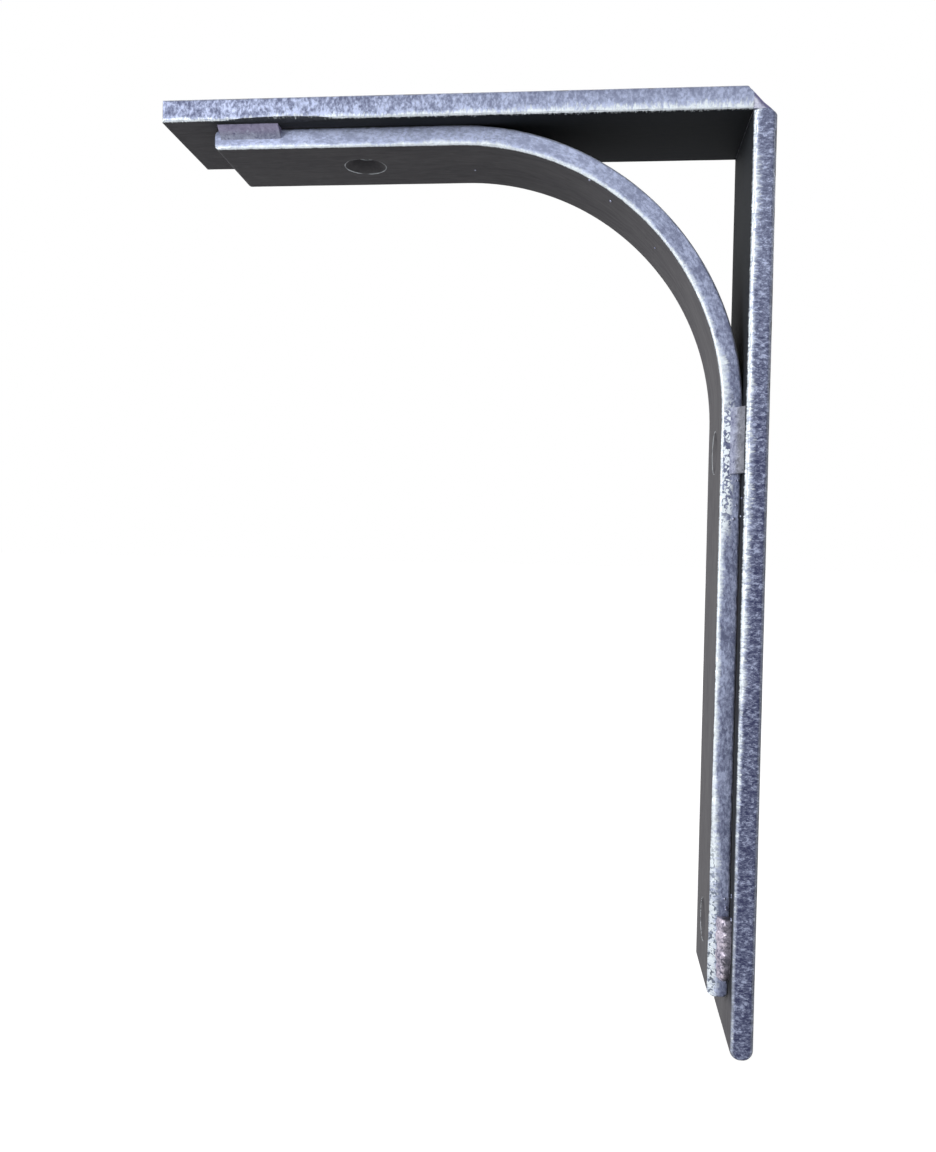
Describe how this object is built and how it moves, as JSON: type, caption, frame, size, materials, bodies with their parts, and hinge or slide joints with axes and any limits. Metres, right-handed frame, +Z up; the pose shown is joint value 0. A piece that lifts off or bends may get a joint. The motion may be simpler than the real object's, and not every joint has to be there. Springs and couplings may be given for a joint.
{
  "type": "triangular shelf bracket",
  "caption": "Steel L-shaped shelf bracket with a curved brace bar welded across the corner and countersunk screw holes for wall and shelf.",
  "frame": {"origin": "midway between the two wall screw holes, on the face that lies against the wall", "axes": "+X into the wall, +Z up to the shelf, +Y across the bars, away from the side with the welds"},
  "size_m": [0.1715, 0.0381, 0.264],
  "materials": {
    "bar_steel": "bare hot-rolled flat bar with ground edges, blue-grey and finely pitted, dark on its inner faces",
    "brace_steel": "bare hot-rolled flat bar, bent cold, blue-grey edges with a bright worn arris and dull grey faces",
    "ground_weld": "weld metal ground flat, pale grey, slightly uneven",
    "raw_weld": "weld bead left as laid, rippled and shiny"
  },
  "bodies": {
    "root": {"top_leg": "bar_steel", "wall_leg": "bar_steel", "curved_brace": "brace_steel", "corner_weld": "ground_weld", "shelf_tail_weld": "ground_weld", "upper_wall_weld": "ground_weld", "lower_wall_weld": "raw_weld"}
  },
  "joints": []
}
